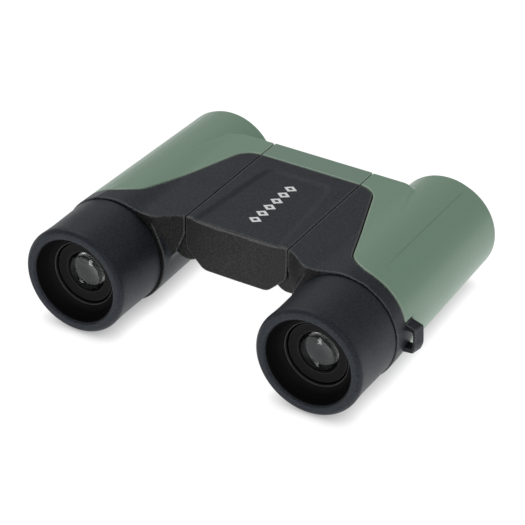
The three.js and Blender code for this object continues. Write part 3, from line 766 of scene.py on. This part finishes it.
def barrel(side):
    """Everything on one side: +1 for the right barrel, -1 for the left."""
    name = "right" if side > 0 else "left"
    body = name + "_barrel"
    cup_body = "right_eyecup_ring" if side > 0 else body
    eye_body = "right_eyepiece_group" if side > 0 else body
    front_body = name + "_objective_group"
    at = (side * BARREL_X, AXIS_Z)
    placed(name + "_green_shell", shell_mesh, side, GREEN, body, [name + "_front_shell"])
    housing = placed(name + "_barrel_housing", housing_mesh, side, BLACK, body,
                     [name + "_housing"])
    # The wing's rear faces take the darker black: painted shade.
    housing.data.materials.append(WING_SHADED_BLACK)
    for face in housing.data.polygons:
        inward = BARREL_X * MM - abs(face.center.x) > WING_FACE_FROM * MM
        at_rear = face.normal.y < WING_FACE_TILT and face.center.y < (BRIDGE_REAR_Y + 1) * MM
        if inward and at_rear:
            face.material_index = 1
    placed(name + "_lug_loop", lug_mesh, side, BLACK, body, [name + "_strap_lug"])
    front_end(name, at, body, front_body)
    cup = turned_piece(name + "_rubber_eyecup", CUP, CUP_CORNERS, at, RUBBER, cup_body,
                       [name + "_eyecup"])
    # Faces inside the cup's mouth take the darker rubber: painted shade in the hollow.
    cup.data.materials.append(CUP_INSIDE_SHADE)
    for face in cup.data.polygons:
        radius = math.hypot(face.center.x - at[0] * MM, face.center.z - at[1] * MM)
        if radius < CUP_MOUTH * MM and face.center.y > (RIM_Y + CUP_FLAT) * MM:
            face.material_index = 1
    turned_piece(name + "_eye_tube", EYE_TUBE, (), at, INNER, eye_body,
                 [name + "_eyepiece_tube"], 96)
    turned_piece(name + "_eye_ring", EYE_RING, EYE_RING_CORNERS, at, RING, eye_body,
                 [name + "_eye_lens_ring"])
    turned_piece(name + "_eye_glass", lens_profile(EYE_GLASS_RADIUS, -36.0, 1.9, -34.4, 0.6), (), at,
                 EYE_GLASS, eye_body, [name + "_eye_lens"], 96)


barrel(1)
barrel(-1)

# ---- Bridge ----

def bridge_section(x, z, top, r=0.4):
    """The bridge's cross-section up to height top, its upper edges rounded to r."""
    side = HINGE_X - HALF_SEAM
    above = top + 9
    outline = [
        (-KEEL_HALF, KEEL_Z), (KEEL_HALF, KEEL_Z), (side, HINGE_Z),
        (side, above), (-side, above), (-side, HINGE_Z),
    ]
    return rmax(polygon(x, z, outline, KEEL_ROUND), z - top, r)


def rear_face(x):
    """Where the bowed rear face is, along Y."""
    return BRIDGE_REAR_Y - BOW * (1 - (x / BOW_HALF) ** 2) + BOW


def wheel_arch(x, y, z):
    """Room for the focus wheel, open below."""
    arch = np.hypot(x, z - FOCUS_Z) - WHEEL_ROOM
    slot = np.maximum(slab(x, -WHEEL_ROOM, WHEEL_ROOM), z - FOCUS_Z)
    return np.maximum(np.minimum(arch, slot), 25.9 - y)


def scoop_top(x, y):
    """Height of the bridge's top: a shallow scoop that widens towards the rear edge."""
    half = SCOOP_HALF + SCOOP_FLARE * np.clip((17.0 - y) / 34.5, 0, 1.1)
    corner = rmax(np.abs(x) - half, y - SCOOP_FRONT_Y, 3.0)
    return TOP_Z - SCOOP_DEPTH * smooth_step(0.5 - corner / 2.4)


def panel_field(x, y, z):
    """The black top panel."""
    plate = np.maximum(bridge_section(x, z, TOP_Z), rear_face(x) + LIP + 0.02 - y)
    plate = rmax(plate, y - TRIM_Y + 0.2, 0.2)
    return np.maximum(np.maximum(plate, z - scoop_top(x, y)), TOP_Z - PANEL_THICK - z)


def chassis_field(x, y, z):
    """The black body: pocketed for the top panel, with hinge knuckles and room for the cover."""
    body = np.maximum(bridge_section(x, z, TOP_Z, 0.3), z - scoop_top(x, y))
    body = rmax(body, rear_face(x) - y, 0.22)
    pocket = np.maximum(rear_face(x) + LIP - y, TOP_Z - PANEL_THICK - 0.02 - z)
    body = np.maximum(np.maximum(body, -pocket), y - BRIDGE_FRONT_Y + 1.8)
    for side in (-1, 1):
        body = np.maximum(body, -rod_y(x, y, z, side * HINGE_X, HINGE_Z, RELIEF_RADIUS, *HINGE_ENDS))
        for low, high in BRIDGE_KNUCKLES:
            knuckle = rod_y(x, y, z, side * HINGE_X, HINGE_Z, KNUCKLE_RADIUS, low, high, 0.3)
            root = sorted((side * (HINGE_X - BRIDGE_WEB), side * (HINGE_X - 0.2)))
            web = box_field(x, y, z, (root[0], low, HINGE_Z), (root[1], high, HINGE_Z + WEB_HEIGHT))
            body = np.minimum(body, np.minimum(knuckle, web))
    cover = box_field(x, y, z, (-8.8, -15.2, 0), (8.8, 22.7, KEEL_Z + 1.1))
    return np.maximum(np.maximum(body, -wheel_arch(x, y, z)), -cover)


def trim_field(x, y, z):
    """The green hood over the focus wheel."""
    plate = rmax(bridge_section(x, z, TOP_Z), slab(y, TRIM_Y, BRIDGE_FRONT_Y), 0.45)
    inner = np.maximum(bridge_section(x, z, TOP_Z - TRIM_THICK), y - BRIDGE_FRONT_Y + 1.6)
    return rmax(np.maximum(plate, -inner), -wheel_arch(x, y, z), 0.4)


BRIDGE_LOW, BRIDGE_HIGH = (-22.2, -18.6, 15.6), (22.2, 34.0, 32.6)
placed("bridge_top", field_mesh(panel_field, BRIDGE_LOW, BRIDGE_HIGH, BRIDGE_STEP), 0, BLACK,
       "bridge", ["bridge_top_panel"])
placed("bridge_body", field_mesh(chassis_field, BRIDGE_LOW, BRIDGE_HIGH, BRIDGE_STEP), 0, BRIDGE_BLACK,
       "bridge", ["bridge_chassis"])
placed("bridge_green_trim", field_mesh(trim_field, BRIDGE_LOW, BRIDGE_HIGH, TRIM_STEP), 0, GREEN_TRIM,
       "bridge", ["bridge_front_trim"])


WHEEL_RIBS = 36
WHEEL = [
    (2.1, 26.2), (6.2, 26.2), (WHEEL_RADIUS, 27.0), (WHEEL_RADIUS, 35.3), (6.3, 36.2), (5.5, 36.2),
    (5.4, 35.2), (2.1, 35.2), (2.1, 26.2),
]
WHEEL_CORNERS = [0, 0.3, 0.5, 0.5, 0.3, 0.2, 0.1, 0, 0]
CAP = [
    (0, 35.4), (5.2, 35.4), (5.2, 36.1), (3.9, 36.12), (3.7, 35.9), (3.3, 35.9), (3.1, 36.12), (0, 36.16),
]
CAP_CORNERS = [0, 0, 0.2, 0.1, 0.1, 0.1, 0.1, 0]


def knurl(r, y, t):
    """Narrow ridges round the wheel's rim, with wide grooves between them."""
    depth = KNURL_DEPTH * smooth_step(r - 6.0)
    return -depth * abs(math.sin(WHEEL_RIBS * t / 2)) ** 1.6, 0


turned_piece("knurled_focus_wheel", WHEEL, WHEEL_CORNERS, (0, FOCUS_Z), RUBBER, "focus_knob",
             ["focus_wheel"], WHEEL_RIBS * 12, knurl)
turned_piece("focus_wheel_disc", CAP, CAP_CORNERS, (0, FOCUS_Z), BLACK, "focus_knob",
             ["focus_wheel_cap"])

SCREW_PLACES = [(x, y) for y in (-12.4, 19.9) for x in (-5.6, 5.6)]


def post(x, y, centre, radius):
    """An upright cylinder."""
    return np.hypot(x - centre[0], y - centre[1]) - radius


def cover_field(x, y, z):
    """The plate under the bridge: a shallow ribbed panel between four screw wells."""
    plan = rmax(slab(x, -8.6, 8.6), slab(y, -15.0, 22.5), 1.4)
    plate = rmax(plan, slab(z, KEEL_Z, KEEL_Z + 1.1), 0.2)
    panel = rmax(slab(x, -6.6, 6.6), slab(y, -8.6, 16.1), 1.2)
    wave = 0.3 + 0.14 * np.cos(2 * math.pi * y / 2.4)
    plate = rmax(plate, -np.maximum(panel, z - KEEL_Z - wave), 0.12)
    for centre in SCREW_PLACES:
        plate = rmax(plate, -post(x, y, centre, 1.78), 0.15)
    return plate


def screw_field(x, y, z):
    """A pan-head screw pointing up, with a cross recess."""
    side = np.hypot(x, y)
    ball = np.sqrt(x * x + y * y + (z - 2.35) ** 2) - 2.3
    head = np.maximum(rmax(side - 1.6, z - 1.1, 0.1), ball)
    arms = np.minimum(
        rmax(np.abs(x) - 0.95, np.abs(y) - 0.2, 0.05),
        rmax(np.abs(y) - 0.95, np.abs(x) - 0.2, 0.05),
    )
    head = np.maximum(head, -np.maximum(arms, z - 0.65))
    return np.minimum(head, np.maximum(side - 0.8, slab(z, 1.0, 3.2)))


COVER_LOW, COVER_HIGH = (-9.2, -15.6, KEEL_Z - 0.6), (9.2, 23.1, KEEL_Z + 1.7)
placed("bridge_underplate", field_mesh(cover_field, COVER_LOW, COVER_HIGH, COVER_STEP), 0, BRIDGE_BLACK,
       "bridge", ["bridge_bottom_cover"])
screw_points, screw_quads, screw_normals = field_mesh(screw_field, (-2, -2, -0.4), (2, 2, 3.6), SCREW_STEP)
for i, (x, y) in enumerate(SCREW_PLACES, 1):
    moved = screw_points + np.array((x, y, KEEL_Z + 0.1))
    placed(f"underplate_screw_{i}", (moved, screw_quads, screw_normals), 0, STEEL, "bridge",
           [f"cover_screw_{i}"])


def lozenge(x, y, z, cy):
    """A small raised diamond, printed white."""
    u, v = np.abs(x - MOTIF_X), np.abs(y - cy)
    flat = rmax((u / 2.15 + v / 1.7 - 1) * 1.33, slab(z, TOP_Z - 0.62, TOP_Z - 0.41), 0.03)
    hole = (u / 0.8 + v / 0.63 - 1) * 0.5
    return np.maximum(flat, -hole)


def motif_field(x, y, z):
    """A plain row of diamonds along the middle of the bridge."""
    pitch = (MOTIF_TO - MOTIF_FROM) / (MOTIF_COUNT - 1)
    nearest = MOTIF_FROM + pitch * np.clip(np.round((y - MOTIF_FROM) / pitch), 0, MOTIF_COUNT - 1)
    return lozenge(x, y, z, nearest)


placed("bridge_motif", field_mesh(motif_field, (-2.2, -10, 31.0), (3.2, 15, 31.8), MOTIF_STEP), 0, PRINT,
       "bridge")

# ---- Looks for the CAD nodes that stay visible ----

STEEL_NODES = ("hinge_pin", "focus_rod", "focus_arm", "focus_carriage")
BRASS_NODES = ("hinge_bush", "focus_screw")
GLASS_NODES = ("field_lens", "half_penta_prism", "roof_prism")

for name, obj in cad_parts.items():
    if obj.hide_render:
        continue
    plain = name.replace("right_", "").replace("left_", "")
    if plain in STEEL_NODES:
        chosen = STEEL
    elif plain in BRASS_NODES:
        chosen = BRASS
    elif plain in GLASS_NODES:
        chosen = EYE_GLASS
    else:
        chosen = INNER
    obj.data.materials.clear()
    obj.data.materials.append(chosen)
